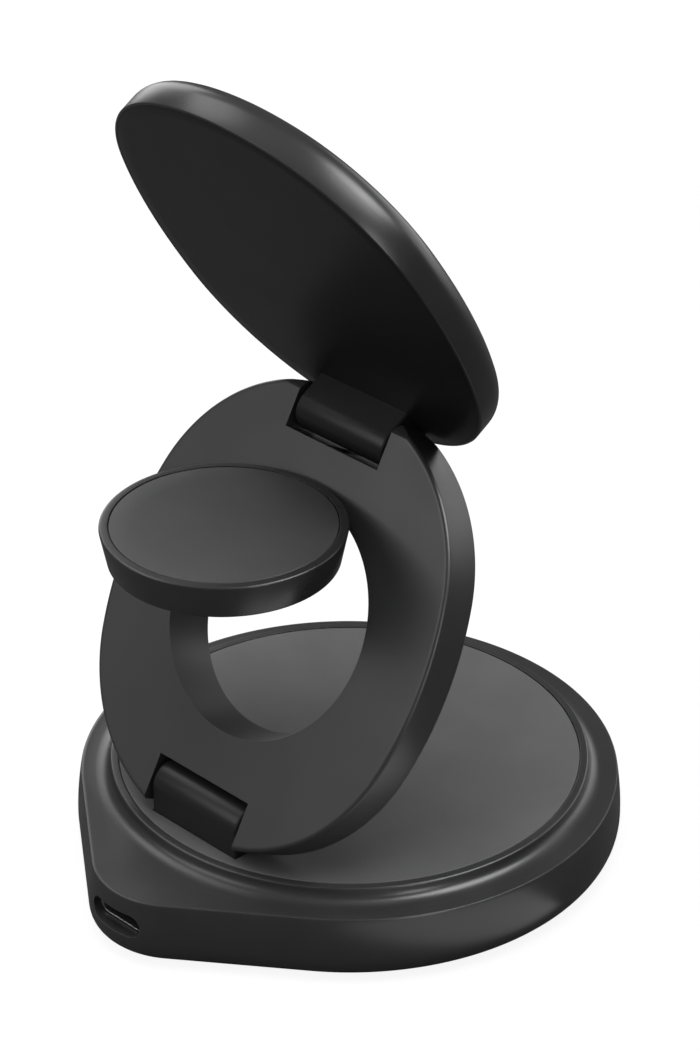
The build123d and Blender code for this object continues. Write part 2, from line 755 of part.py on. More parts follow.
# Hinge tongue of the disc: barrel, square neck, foot through the cover and flange inside
with BuildPart() as disc_hinge_tongue:
    with BuildSketch(disc_side):
        Circle(barrel_radius)
        block((-barrel_radius, barrel_radius), (-disc_offset, 0))
    extrude(amount=barrel_half, both=True)
    fillet(disc_hinge_tongue.faces().filter_by(Axis.X).edges(), barrel_edge)
    with BuildSketch(disc_plane):
        block((-tongue_foot_half, tongue_foot_half), tongue_foot)
    extrude(amount=-disc_cover_thickness)
    with BuildSketch(disc_plane.offset(-disc_cover_thickness)):
        block((-flange_half, flange_half), (-tongue_foot_back, -flange_front))
    extrude(amount=-flange_thickness)
    with BuildSketch(disc_plane.offset(-disc_cover_thickness)):
        with Locations(*screw_places):
            Circle(disc_screw_head + seat_gap)
    extrude(amount=-disc_screw_head_height, mode=Mode.SUBTRACT)
    with BuildSketch(disc_plane.offset(-disc_cover_thickness)):
        with Locations(*screw_places):
            Circle(disc_screw_radius + seat_gap)
    extrude(amount=-flange_thickness, mode=Mode.SUBTRACT)
    with BuildSketch(disc_side):
        Circle(sleeve_radius)
    extrude(amount=barrel_half, both=True, mode=Mode.SUBTRACT)
disc_hinge_tongue.part.label = "disc_hinge_tongue"
export_step(disc_hinge_tongue.part, "parts/disc_hinge_tongue.step")

# Two screws that hold the tongue's flange to the shell
with BuildPart() as disc_screws:
    with BuildSketch(disc_plane.offset(-disc_cover_thickness)):
        with Locations(*screw_places):
            Circle(disc_screw_head)
    extrude(amount=-disc_screw_head_height)
    with BuildSketch(disc_plane.offset(-disc_cover_thickness)):
        with Locations(*screw_places):
            Circle(disc_screw_radius)
    extrude(amount=-disc_screw_head_height - disc_screw_length)
disc_screws.part.label = "disc_screws"
export_step(disc_screws.part, "parts/disc_screws.step")

# Soft pad on the disc's outer face, where the phone lies
with BuildPart() as disc_outer_pad:
    with BuildSketch(disc_plane.offset(-disc_thickness)):
        oval(disc_pad_inset)
    extrude(amount=disc_pad_thickness)
disc_outer_pad.part.label = "disc_outer_pad"
export_step(disc_outer_pad.part, "parts/disc_outer_pad.step")

# Inside the disc: coil, ferrite, board, and an open ring of magnets
with BuildPart() as phone_coil:
    with BuildSketch(disc_floor):
        Circle(phone_coil_radius)
        Circle(phone_coil_bore, mode=Mode.SUBTRACT)
    extrude(amount=phone_coil_thickness)
phone_coil.part.label = "phone_coil"
export_step(phone_coil.part, "parts/phone_coil.step")

with BuildPart() as phone_ferrite:
    with BuildSketch(disc_floor.offset(phone_coil_thickness)):
        Circle(phone_ferrite_radius)
    extrude(amount=phone_ferrite_thickness)
phone_ferrite.part.label = "phone_ferrite"
export_step(phone_ferrite.part, "parts/phone_ferrite.step")

with BuildPart() as phone_circuit_board:
    with BuildSketch(disc_floor.offset(phone_coil_thickness + phone_ferrite_thickness)):
        Circle(phone_board_radius)
    extrude(amount=board_thickness)
phone_circuit_board.part.label = "phone_circuit_board"
export_step(phone_circuit_board.part, "parts/phone_circuit_board.step")

with BuildPart() as phone_magnets:
    with BuildSketch(disc_floor):
        Circle(magnet_outer)
        Circle(magnet_inner, mode=Mode.SUBTRACT)
        with PolarLocations((magnet_inner + magnet_outer) / 2, magnet_count):
            Rectangle(2 * (magnet_outer - magnet_inner), magnet_slit, mode=Mode.SUBTRACT)
        reach = 2 * magnet_outer
        open_x = reach * sin(radians(magnet_gap_half))
        open_y = reach * cos(radians(magnet_gap_half))
        Polygon((0, 0), (open_x, -open_y), (-open_x, -open_y), align=None, mode=Mode.SUBTRACT)
    extrude(amount=magnet_thickness)
phone_magnets.part.label = "phone_magnets"
export_step(phone_magnets.part, "parts/phone_magnets.step")
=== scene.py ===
# %% [markdown]
# # A folding wireless charger
# A round base carries a leaning oval arm. A watch puck swings in the arm's hole, and an oval
# phone disc tilts on top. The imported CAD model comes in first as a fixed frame, and every
# piece made below takes its place in that frame, in metres.

# %% Load the frame
import json
from math import atan2, cos, hypot, pi, radians, sin, sqrt

import bpy
from mathutils import Matrix, Vector
from mathutils.geometry import interpolate_bezier


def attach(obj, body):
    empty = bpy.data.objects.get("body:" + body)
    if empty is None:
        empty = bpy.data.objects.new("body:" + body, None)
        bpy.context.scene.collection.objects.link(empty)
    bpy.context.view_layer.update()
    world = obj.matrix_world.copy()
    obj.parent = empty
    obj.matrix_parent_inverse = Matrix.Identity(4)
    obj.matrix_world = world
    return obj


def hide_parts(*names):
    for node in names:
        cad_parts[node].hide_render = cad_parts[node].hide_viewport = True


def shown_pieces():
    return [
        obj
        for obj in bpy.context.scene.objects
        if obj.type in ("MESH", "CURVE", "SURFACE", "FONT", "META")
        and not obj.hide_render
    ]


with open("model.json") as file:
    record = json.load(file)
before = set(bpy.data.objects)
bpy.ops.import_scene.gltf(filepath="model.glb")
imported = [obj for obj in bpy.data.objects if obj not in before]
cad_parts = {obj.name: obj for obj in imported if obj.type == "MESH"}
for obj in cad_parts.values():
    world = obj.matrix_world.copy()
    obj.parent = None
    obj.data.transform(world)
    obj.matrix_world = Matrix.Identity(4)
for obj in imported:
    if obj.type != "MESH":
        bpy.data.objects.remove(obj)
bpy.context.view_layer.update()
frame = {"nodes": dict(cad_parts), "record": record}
nodes = frame["nodes"]

# %% [markdown]
# ## Sizes
# All sizes are in millimetres, because a charger is drawn that way, and a finished piece is
# brought down to metres when it is put in place. The three hinge axes lie along X, so each
# leaning part needs only one angle.

# %% Main sizes
BODY_R, TIP_R, TIP_Y = 37.57, 11.78, 32.44
CREASE, PAD_TOP, PAD_R, RIM_R = 9.9, 12.0, 32.22, 33.1
RIM_ROUND, SWEEP = 0.3, 2.6
SEAM, PAD_GAP = 0.08, 0.06
AXIS_LOW = (-26.64, 15.72)
REACH, DEPTH, LEAN = 27.25, 3.0, radians(30)
BARREL_R, BARREL_HALF, BORE_R = 3.0, 8.2, 1.6
ARM_T, FRONT_ROUND, BACK_ROUND = 6.2, 0.6, 0.5
LIP, PLATE_T, PLATE_HALF_HEIGHT = 0.9, 1.0, 23.0
HOLE_R, HOLE_BACK_R = 17.05, 15.45
NOTCH_HALF, NOTCH_FLOOR = 8.6, 23.9
LUG_HALF, LUG_R, LUG_TOP = 3.7, 1.3, 18.4
POCKET_HALF, POCKET_TOP, POCKET_SKIN, POCKET_FLOOR = 4.0, 20.2, 0.42, 4.6
WIRE_HALF, WIRE_SKIN = 1.5, 0.8
WATCH_UP, WATCH_IN = 18.52, 2.02
PUCK_R, PUCK_FOOT_R, PUCK_H, PUCK_PAD_R = 16.3, 15.4, 5.0, 15.06
DISC_OFFSET, DISC_T, DISC_ROUND, DISC_INSET = 3.9, 5.8, 3.2, 0.3

up = Vector((0, sin(LEAN), cos(LEAN)))
out = Vector((0, -cos(LEAN), sin(LEAN)))
low = Vector((0, *AXIS_LOW))
arm_at = low + REACH * up + DEPTH * out
high = low + 2 * REACH * up
watch_at = arm_at + WATCH_UP * up - WATCH_IN * out
puck_at = watch_at + Vector((0, -WATCH_UP, WATCH_IN))
disc_up = Vector((0, -sin(LEAN), cos(LEAN)))
disc_in = Vector((0, -cos(LEAN), -sin(LEAN)))
disc_at = high + REACH * disc_up - DISC_OFFSET * disc_in


def placing(origin, x_axis, y_axis):
    """The matrix that takes local x, y and their normal to these directions at origin."""
    z_axis = x_axis.cross(y_axis)
    turn = Matrix((x_axis, y_axis, z_axis)).transposed().to_4x4()
    return Matrix.Translation(origin) @ turn


X = Vector((1, 0, 0))
flat = Matrix.Identity(4)
on_arm = placing(arm_at, X, up)
on_disc = placing(disc_at, X, disc_up)
print("arm centre", [round(v, 2) for v in arm_at], "disc centre", [round(v, 2) for v in disc_at])

# %% [markdown]
# ## Outlines
# The base is a drop shape: a large and a small circle joined by straight tangents. The arm and
# the disc share an oval of three arcs a quarter, flatter at the sides than an ellipse. Both
# are given as points, each with its outward direction known, so an offset outline is exact.


# %% Outline points
def drop_points(inset):
    """The base's outline, anticlockwise, drawn this far inside the crease."""
    turn = atan2(-(BODY_R - TIP_R) / TIP_Y, sqrt(1 - ((BODY_R - TIP_R) / TIP_Y) ** 2))
    points = []
    for i in range(241):
        angle = turn + (pi - 2 * turn) * i / 240
        points.append(((BODY_R - inset) * cos(angle), (BODY_R - inset) * sin(angle)))
    for i in range(73):
        angle = pi - turn + (pi + 2 * turn) * i / 72
        points.append(((TIP_R - inset) * cos(angle), -TIP_Y + (TIP_R - inset) * sin(angle)))
    return points


def oval_points(inset, count=256):
    """The arm's outline, anticlockwise, drawn this far inside its edge."""
    half_w, half_h, side_r, end_r, corner_r = 28.3, 31.75, 50.94, 32.83, 25.23
    side_x, end_y = half_w - side_r, half_h - end_r
    span = hypot(side_x, end_y)
    along = ((side_r - corner_r) ** 2 - (end_r - corner_r) ** 2 + span**2) / (2 * span)
    aside = sqrt((side_r - corner_r) ** 2 - along**2)
    corner_x = side_x - side_x / span * along - end_y / span * aside
    corner_y = end_y / span * along - side_x / span * aside
    first = atan2(corner_y, corner_x - side_x)
    second = atan2(corner_y - end_y, corner_x)
    points = []
    for i in range(count):
        angle = 2 * pi * i / count
        c, s = abs(cos(angle)), abs(sin(angle))
        if atan2(s, c) < first:
            x, y = side_x + (side_r - inset) * c, (side_r - inset) * s
        elif atan2(s, c) < second:
            x, y = corner_x + (corner_r - inset) * c, corner_y + (corner_r - inset) * s
        else:
            x, y = (end_r - inset) * c, end_y + (end_r - inset) * s
        points.append((x if cos(angle) > 0 else -x, y if sin(angle) > 0 else -y))
    return points


def round_points(radius, count=256):
    """A plain circle."""
    return [(radius * cos(2 * pi * i / count), radius * sin(2 * pi * i / count)) for i in range(count)]


print("drop", len(drop_points(0)), "oval", len(oval_points(0)))

# %% [markdown]
# ## Making solids by stepping a face inwards
# Nearly every piece here is an outline with rounded edges. By hand that is one flat face and a
# chain of Inset steps, each moved up or down. Inset keeps the distance to the edge even all
# round, which scaling would not, so the same chain rounds the drop shape and the oval alike.


# %% Helpers for modelling
def clear():
    """Leaves nothing selected."""
    if bpy.context.object and bpy.context.object.mode != "OBJECT":
        bpy.ops.object.mode_set(mode="OBJECT")
    bpy.ops.object.select_all(action="DESELECT")


def choose(*pieces):
    """Selects these pieces, the first one active."""
    clear()
    for piece in pieces:
        piece.select_set(True)
    bpy.context.view_layer.objects.active = pieces[0]


def stack(name, points, upward, downward):
    """A closed solid: its widest outline, stepped inwards above and below it.

    Each step is an inset and a rise. A wide flat one at the end leaves an even ring of faces.
    """
    halves = []
    for steps, side in ((upward, 1), (downward, -1)):
        clear()
        bpy.ops.mesh.primitive_circle_add(vertices=len(points), radius=10, fill_type="NGON")
        half = bpy.context.object
        for vertex, point in zip(half.data.vertices, points):
            vertex.co = (point[0], point[1], 0)
        half.data.update()
        bpy.ops.object.mode_set(mode="EDIT")
        bpy.ops.mesh.select_all(action="SELECT")
        if half.data.polygons[0].normal.z * side < 0:
            bpy.ops.mesh.flip_normals()
        for inset, rise in steps:
            bpy.ops.mesh.inset(thickness=max(inset, 0.0), depth=rise, use_even_offset=True)
        bpy.ops.object.mode_set(mode="OBJECT")
        halves.append(half)
    choose(*halves)
    bpy.ops.object.join()
    solid = bpy.context.object
    bpy.ops.object.mode_set(mode="EDIT")
    bpy.ops.mesh.select_all(action="SELECT")
    bpy.ops.mesh.remove_doubles(threshold=0.0005)
    bpy.ops.mesh.normals_make_consistent(inside=False)
    bpy.ops.object.mode_set(mode="OBJECT")
    solid.name = solid.data.name = name
    return solid


def rounding(radius, count=6):
    """Steps that turn a wall into a flat face over a quarter circle."""
    steps = []
    for i in range(count):
        a, b = pi / 2 * i / count, pi / 2 * (i + 1) / count
        steps.append((radius * (cos(a) - cos(b)), radius * (sin(b) - sin(a))))
    return steps


def curve_steps(start, lean, settle, end, count):
    """Steps along a Bezier curve of (inset, height) points."""
    knots = [Vector((*p, 0)) for p in (start, lean, settle, end)]
    path = interpolate_bezier(*knots, count + 1)
    return [(b.x - a.x, abs(b.y - a.y)) for a, b in zip(path, path[1:])]


def turned(name, profile, steps=256):
    """A ring: a closed profile of (radius, height) points spun round the upright axis."""
    clear()
    bpy.ops.mesh.primitive_circle_add(vertices=len(profile), radius=10, fill_type="NOTHING")
    ring = bpy.context.object
    for vertex, point in zip(ring.data.vertices, profile):
        vertex.co = (point[0], 0, point[1])
    bpy.ops.object.mode_set(mode="EDIT")
    bpy.ops.mesh.select_all(action="SELECT")
    bpy.ops.mesh.spin(steps=steps, angle=2 * pi, center=(0, 0, 0), axis=(0, 0, 1))
    bpy.ops.mesh.select_all(action="SELECT")
    bpy.ops.mesh.remove_doubles(threshold=0.0005)
    bpy.ops.mesh.normals_make_consistent(inside=False)
    bpy.ops.object.mode_set(mode="OBJECT")
    ring.name = ring.data.name = name
    return ring


def bar(x_range, y_range, z_range):
    """A plain block between two values each way, for cutting."""
    clear()
    ranges = (x_range, y_range, z_range)
    bpy.ops.mesh.primitive_cube_add(size=1, location=[sum(r) / 2 for r in ranges])
    block = bpy.context.object
    block.scale = [r[1] - r[0] for r in ranges]
    bpy.ops.object.transform_apply()
    return block


def rod(radius, half_length, centre, far_radius=None, axis="X", sides=192):
    """A round bar or cone along one axis, for cutting."""
    clear()
    bpy.ops.mesh.primitive_cone_add(
        vertices=sides,
        radius1=radius,
        radius2=radius if far_radius is None else far_radius,
        depth=2 * half_length,
        location=centre,
        rotation=(0, pi / 2, 0) if axis == "X" else (0, 0, 0),
    )
    bpy.ops.object.transform_apply()
    return bpy.context.object


def combine(piece, other, how="DIFFERENCE"):
    """Cuts, joins or limits a piece by another solid, which is used up."""
    choose(piece)
    step = piece.modifiers.new("shape", "BOOLEAN")
    step.operation = how
    step.object = other
    step.solver = "EXACT"
    bpy.ops.object.modifier_apply(modifier=step.name)
    bpy.data.objects.remove(other)


def join(name, *pieces):
    """Several meshes in one piece."""
    choose(*pieces)
    bpy.ops.object.join()
    pieces[0].name = pieces[0].data.name = name
    return pieces[0]


def place(piece, where, body, slot, *stands_for, angle=28):
    """Brings a finished piece to metres, puts it in place and ties it to its body."""
    choose(piece)
    piece.matrix_world = Matrix.Scale(0.001, 4) @ where
    bpy.ops.object.transform_apply(location=True, rotation=True, scale=True)
    bpy.ops.object.shade_smooth_by_angle(angle=radians(angle))
    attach(piece, body)
    if stands_for:
        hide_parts(*stands_for)
    size = [round(v * 1000, 1) for v in piece.dimensions]
    print(piece.name, "faces", len(piece.data.polygons), "size mm", size)
    return piece


# %% [markdown]
# ## Base
# The lower body swells a little below its crease and rolls under in one short curve, so its
# wall follows two Bezier curves from the widest line. The round table on top falls to the
# ledge in one hollow sweep. It is a turned ring, welded to the body by a Boolean union so
# that the sweep runs out into the ledge without a line.

# %% Base body
swell, widest, foot = -0.549, 3.5, 0.4
crease_round = [(0.03, 0.1), (0.08, 0.1), (0.12, 0.04), (0.3, 0.0)]
cover_seam = [(0.02, -0.3), (0.12, 0.0), (0.02, 0.3)]
sheet_recess = [(0.02, -0.3), (3.0, 0.0)]
upper = curve_steps((swell, widest), (swell, 5.8), (-0.25, 8.2), (0.0, 9.66), 8)
upper += crease_round + [(3.0, 0.0)]
lower = curve_steps((swell, widest), (swell, 1.35), (0.55, foot), (2.9, foot), 14)
lower += [(1.15, 0.0)] + cover_seam + [(1.2, 0.0)] + sheet_recess
base_body = stack("base_body", drop_points(swell), upper, lower)
choose(base_body)
base_body.location.z = widest
bpy.ops.object.transform_apply()

shoulder, top, sunk = RIM_R + RIM_ROUND, PAD_TOP - RIM_ROUND, CREASE - 0.015
under, seat, core = CREASE - 0.6, PAD_TOP - 0.5, 30.8
profile = [(core, under), (shoulder + SWEEP, under)]
for i in range(15):
    t = i / 14
    profile.append((shoulder + SWEEP * (1 - t) ** 2, sunk + (top - sunk) * t**2))
for i in range(1, 7):
    angle = pi / 2 * i / 6
    profile.append((RIM_R + RIM_ROUND * cos(angle), top + RIM_ROUND * sin(angle)))
profile += [(PAD_R + SEAM, PAD_TOP), (PAD_R + SEAM, seat), (core, seat)]
combine(base_body, turned("base_table", profile), "UNION")


# %% [markdown]
# The port is a slot with round ends through the tip's wall. A slot is a row of points round
# two half circles, stepped out along its depth, so the same helper makes the cutter, the
# metal shell and the tongue. They are made lying down and stood up by a placing that looks
# out of the lobe.


# %% Port
def slot_points(width, height, count=24):
    """A slot with round ends, anticlockwise."""
    radius, reach = height / 2, (width - height) / 2
    points = []
    for side, start in ((1, -pi / 2), (-1, pi / 2)):
        for i in range(count + 1):
            angle = start + pi * i / count
            points.append((side * reach + radius * cos(angle), radius * sin(angle)))
    return points


PORT_DROP, PORT_W, PORT_H, PORT_WALL, PORT_DEPTH = 6.3, 8.94, 3.2, 0.3, 7.2
PORT_SETBACK, PORT_EDGE = 1.5, 0.08
in_port = placing(Vector((0, -TIP_Y - TIP_R, PAD_TOP - PORT_DROP)), X, Vector((0, 0, 1)))


def stand(piece, where):
    """Turns a cutter or a part of a piece into place, still in millimetres."""
    choose(piece)
    piece.matrix_world = where @ piece.matrix_world
    bpy.ops.object.transform_apply(location=True, rotation=True, scale=True)
    return piece


port_cut = stack("port_cut", slot_points(PORT_W + 2 * SEAM, PORT_H + 2 * SEAM), [(0, 4)], [(0, 5)])
combine(base_body, stand(port_cut, in_port))
place(base_body, flat, "base", "base_plastic", "base_housing", "base_bottom_cover")

rim = [(PORT_EDGE, PORT_EDGE), (0.2, 0)]
port_shell = stack("port_shell", slot_points(PORT_W, PORT_H), rim, [(0, PORT_DEPTH)])
inside = slot_points(PORT_W - 2 * PORT_WALL, PORT_H - 2 * PORT_WALL)
combine(port_shell, stack("port_inside", inside, [(0, 1)], [(0, PORT_DEPTH + 0.8)]))
stand(port_shell, Matrix.Translation((0, 0, -PORT_SETBACK - PORT_EDGE)))
place(stand(port_shell, in_port), flat, "base", "port_metal", "usb_port_shell")

# %% [markdown]
# The port's tongue is a thin plate with rounded corners. Its contacts are small raised bars,
# modelled once and copied along both faces, each copy with its own mesh.

# %% Port tongue and contacts
TONGUE_W, TONGUE_T, TONGUE_AT = 6.69, 0.7, -2.6
HEEL_W, HEEL_H, HEEL_AT = 8.24, 2.5, -7.85
blade = stack("port_tongue", slot_points(TONGUE_W, TONGUE_T, 6), [(0.12, 0.1), (0.1, 0)], [(0, 6)])
stand(blade, Matrix.Translation((0, 0, TONGUE_AT)))
heel = stack("port_heel", slot_points(HEEL_W, HEEL_H), [(0.05, 0.05), (0.5, 0)], [(0, 0.9)])
stand(heel, Matrix.Translation((0, 0, HEEL_AT)))
join("port_tongue", blade, heel)
place(stand(blade, in_port), flat, "base", "port_plastic", "usb_port_tongue")

PITCH, CONTACTS, TO_LOWER_ROW = 0.5, 12, -0.71
contact = bar((-0.13, 0.13), (0.34, 0.37), (-6.0, -3.0))
row = [contact]
for drop in (0, TO_LOWER_ROW):
    for i in range(CONTACTS):
        if (drop, i) == (0, 0):
            continue
        choose(contact)
        bpy.ops.object.duplicate()
        copy = bpy.context.object
        copy.location = (i * PITCH, drop, 0)
        row.append(copy)
contacts = join("port_contacts", *row)
stand(contacts, Matrix.Translation((-PITCH * (CONTACTS - 1) / 2, 0, 0)))
place(stand(contacts, in_port), flat, "base", "port_metal")

# %% [markdown]
# ## Pad, foot and hinge block
# The soft pad is a thin disc with a rounded edge, cut out round the hinge block. The block's
# side view is a stadium cut square at the foot: a barrel on a straight wall. It is stepped
# out from its middle to both sides and rounded at its ends.

# %% Base pad and foot sheet
BASE_PAD_ROUND, SHEET_ROUND, SHEET_INSET = 0.18, 0.2, 5.48
pad_up = rounding(BASE_PAD_ROUND, 3) + [(4, 0)]
base_pad = stack("base_pad", round_points(PAD_R - PAD_GAP), pad_up, [(0, 0.5)])
stand(base_pad, Matrix.Translation((0, 0, PAD_TOP - BASE_PAD_ROUND)))
half, gap = BARREL_HALF + SEAM, BARREL_R + SEAM
combine(base_pad, bar((-half, half), (low.y - gap, low.y + gap), (PAD_TOP - 2, PAD_TOP + 1)))
place(base_pad, flat, "base", "soft_pad", "base_pad")

sheet_down = rounding(SHEET_ROUND, 3) + [(3, 0)]
foot_sheet = stack("foot_sheet", drop_points(SHEET_INSET), [(0, 0.5)], sheet_down)
stand(foot_sheet, Matrix.Translation((0, 0, SHEET_ROUND)))
place(foot_sheet, flat, "base", "foot_rubber", "foot_sheet")


# %% Hinge barrels
def barrel_points(reach, count=40):
    """The side view of a barrel on a straight neck that reaches this far from its axis."""
    points = []
    for i in range(count + 1):
        angle = pi * i / count
        points.append((BARREL_R * cos(angle), BARREL_R * sin(angle)))
    return points + [(-BARREL_R, -reach), (BARREL_R, -reach)]


BARREL_ROUND, BLOCK_SUNK, TONGUE_SUNK = 0.35, 0.8, 0.3
side = [(0, BARREL_HALF - BARREL_ROUND)] + rounding(BARREL_ROUND, 4) + [(1.0, 0)]
block = stack("lower_hinge_block", barrel_points(AXIS_LOW[1] - PAD_TOP + BLOCK_SUNK), side, side)
stand(block, placing(low, Vector((0, 1, 0)), Vector((0, 0, 1))))
combine(block, rod(BORE_R, BARREL_HALF + 1, low))
place(block, flat, "base", "hinge_plastic", "lower_hinge_block")

tongue = stack("disc_hinge_tongue", barrel_points(DISC_OFFSET + TONGUE_SUNK), side, side)
stand(tongue, placing(high, disc_up, disc_in))
combine(tongue, rod(BORE_R, BARREL_HALF + 1, high))
place(tongue, flat, "disc", "hinge_plastic", "disc_hinge_tongue")

# %% [markdown]
# ## Arm
# The arm is an oval plate with a tapered hole and two square notches for the hinges. A pocket
# behind a thin skin of its face hides the hinge of the watch puck, and a slot in each notch's
# floor lets the leads through. Each is a Boolean cut with a cutter a little longer than the
# cut is deep. Beside the notches the horns are rounded about the hinge axes, so that the disc
# and the base clear them as the arm folds: there the cutter is a block less a round bar.


# %% Arm cutters
BEYOND, IN_HOLE = 34, 12


def notches(piece):
    """Cuts the hinge notches, the lug's slot and pocket, and the slots for the leads."""
    half, depth = NOTCH_HALF, (-ARM_T - 1, 1)
    combine(piece, bar((-half, half), (NOTCH_FLOOR, BEYOND), depth))
    combine(piece, bar((-half, half), (-BEYOND, -NOTCH_FLOOR), depth))
    pocket = (-POCKET_HALF, POCKET_HALF)
    combine(piece, bar(pocket, (IN_HOLE, LUG_TOP), (-POCKET_FLOOR, 1)))
    combine(piece, bar(pocket, (IN_HOLE, POCKET_TOP), (-POCKET_FLOOR, -POCKET_SKIN)))
    wires, across = (-ARM_T + PLATE_T, -WIRE_SKIN), (-WIRE_HALF, WIRE_HALF)
    combine(piece, bar(across, (POCKET_TOP - 1, NOTCH_FLOOR + 1), wires))
    combine(piece, bar(across, (-NOTCH_FLOOR - 1, -NOTCH_FLOOR + 3), wires))


def horn_cutter(radius, half_length, y_range, z_range):
    """A block less a round bar about the hinge axis, which rounds a horn's end."""
    block = bar((-half_length, half_length), y_range, z_range)
    axis_y = REACH if y_range[0] > 0 else -REACH
    combine(block, rod(radius, half_length + 1, (0, axis_y, -DEPTH)))
    return block


def back_plate(grow):
    """The arm's back plate, or with grow its seat."""
    edge = LIP - grow
    lowest = [(0.1, 0.1), (2, 0)] if grow == 0 else [(0, 1), (2, 0)]
    plate = stack("arm_back_plate", oval_points(edge), [(0, PLATE_T - 0.1)], lowest)
    stand(plate, Matrix.Translation((0, 0, 0.1 - ARM_T)))
    combine(plate, rod(HOLE_BACK_R + edge, 4, (0, 0, -ARM_T), axis="Z"))
    half = PLATE_HALF_HEIGHT + grow
    for reach in ((half, BEYOND), (-BEYOND, -half)):
        combine(plate, bar((-BEYOND, BEYOND), reach, (-ARM_T - 2, -ARM_T + 2)))
    return plate


# %% Arm shell and back plate
HIGH_HORN_R, LOW_HORN_R = 3.6, 3.3
front = rounding(FRONT_ROUND, 8) + [(0.2, 0), (3, 0)]
rear = [(0, ARM_T - FRONT_ROUND - BACK_ROUND)] + rounding(BACK_ROUND, 5) + [(3, 0)]
shell = stack("arm_shell", oval_points(0), front, rear)
stand(shell, Matrix.Translation((0, 0, -FRONT_ROUND)))
slope = (HOLE_R - HOLE_BACK_R) / ARM_T
combine(shell, rod(HOLE_BACK_R - slope, ARM_T / 2 + 1, (0, 0, -ARM_T / 2), HOLE_R + slope, "Z", 256))
notches(shell)
combine(shell, horn_cutter(HIGH_HORN_R, 14, (REACH, BEYOND), (-ARM_T - 1, 1)))
combine(shell, horn_cutter(LOW_HORN_R, 16, (-BEYOND, -REACH), (-ARM_T - 1, -DEPTH)))
combine(shell, back_plate(SEAM))
place(shell, on_arm, "arm", "arm_plastic", "arm_shell")
place(back_plate(0), on_arm, "arm", "arm_back", "arm_back_plate")

# %% [markdown]
# ## Watch puck
# The puck is turned: a closed profile spun about its own axis, with a rim, a recess for the
# pad and a cover below. Its lug is a short barrel with a neck, stepped out like the big ones.

# %% Puck
PUCK_ROUND, PUCK_SEAT, PUCK_COVER_R, ON_AXIS = 0.3, -0.45, 13.32, 0.001
cover, groove = -PUCK_H + 0.02, -PUCK_H + 0.3
profile = [(ON_AXIS, cover), (PUCK_COVER_R, cover)]
profile += [(PUCK_COVER_R + 0.02, groove), (PUCK_COVER_R + 0.14, groove)]
profile += [(PUCK_COVER_R + 0.16, -PUCK_H), (PUCK_FOOT_R - PUCK_ROUND, -PUCK_H)]
for i in range(1, 6):
    across, along = PUCK_ROUND * sin(pi / 2 * i / 5), PUCK_ROUND * (1 - cos(pi / 2 * i / 5))
    profile.append((PUCK_FOOT_R - PUCK_ROUND + across, -PUCK_H + along))
for i in range(6):
    across, along = PUCK_ROUND * cos(pi / 2 * i / 5), PUCK_ROUND * (sin(pi / 2 * i / 5) - 1)
    profile.append((PUCK_R - PUCK_ROUND + across, along))
profile += [(PUCK_PAD_R + SEAM, 0), (PUCK_PAD_R + SEAM, PUCK_SEAT), (ON_AXIS, PUCK_SEAT)]
puck = turned("puck_housing", profile)
stand(puck, Matrix.Translation(puck_at))

LUG_ARC, LUG_ROUND, LUG_BORE_R = 5.06, 0.15, 0.65
NECK_END, NECK_TOP, NECK_LOW = -3.6, -0.45, -2.2
lug_outline = []
for i in range(33):
    angle = -pi / 2 + LUG_ARC * i / 32
    lug_outline.append((LUG_R * cos(angle), LUG_R * sin(angle)))
lug_outline += [(NECK_END, NECK_TOP), (NECK_END, NECK_LOW), (0, NECK_LOW)]
lug_side = [(0, LUG_HALF - LUG_ROUND)] + rounding(LUG_ROUND, 3) + [(0.3, 0)]
lug = stack("lug", lug_outline, lug_side, lug_side)
stand(lug, placing(watch_at, Vector((0, 1, 0)), Vector((0, 0, 1))))
combine(lug, rod(LUG_BORE_R, 6, watch_at))
puck = join("puck_housing", puck, lug)
place(puck, flat, "puck", "puck_plastic", "puck_housing", "puck_bottom_cover")

PAD_ROUND = 0.15
pad_up = rounding(PAD_ROUND, 3) + [(3, 0)]
puck_pad = stack("puck_pad", round_points(PUCK_PAD_R - PAD_GAP), pad_up, [(0, 0.5)])
stand(puck_pad, Matrix.Translation(puck_at - Vector((0, 0, PAD_ROUND))))
place(puck_pad, flat, "puck", "soft_pad", "puck_pad")

# %% [markdown]
# ## Phone disc
# The disc's shell has a sharp inner edge and a full rounding outside, in one chain of steps
# from its wall. The glossy inner cover lies in it with a fine seam, and the pad that holds
# the phone is let into the outer face.

# %% Disc
DISC_EDGE, COVER_EDGE, RECESS = 0.12, 0.03, 0.4
COVER_INSET, OUTER_PAD_INSET = 0.74, 4.6
shell_up = rounding(DISC_EDGE, 2) + [(0.28, 0), (0.01, -RECESS), (2, 0)]
shell_down = [(0, DISC_T - DISC_ROUND - DISC_EDGE)] + rounding(DISC_ROUND, 14)
shell_down += [(OUTER_PAD_INSET - SEAM - DISC_ROUND - DISC_INSET, 0), (0.02, -RECESS), (3, 0)]
disc = stack("disc_shell", oval_points(DISC_INSET), shell_up, shell_down)
stand(disc, Matrix.Translation((0, 0, -DISC_EDGE)))
place(disc, on_disc, "disc", "disc_plastic", "disc_shell")

cover_up = rounding(COVER_EDGE, 2) + [(2, 0)]
disc_cover = stack("disc_inner_cover", oval_points(COVER_INSET), cover_up, [(0, 0.25)])
stand(disc_cover, Matrix.Translation((0, 0, -COVER_EDGE)))
place(disc_cover, on_disc, "disc", "disc_gloss", "disc_inner_cover")

outer_pad = stack("disc_outer_pad", oval_points(OUTER_PAD_INSET), [(0, 0.3)], pad_up)
stand(outer_pad, Matrix.Translation((0, 0, PAD_ROUND - DISC_T)))
place(outer_pad, on_disc, "disc", "soft_pad", "disc_outer_pad")

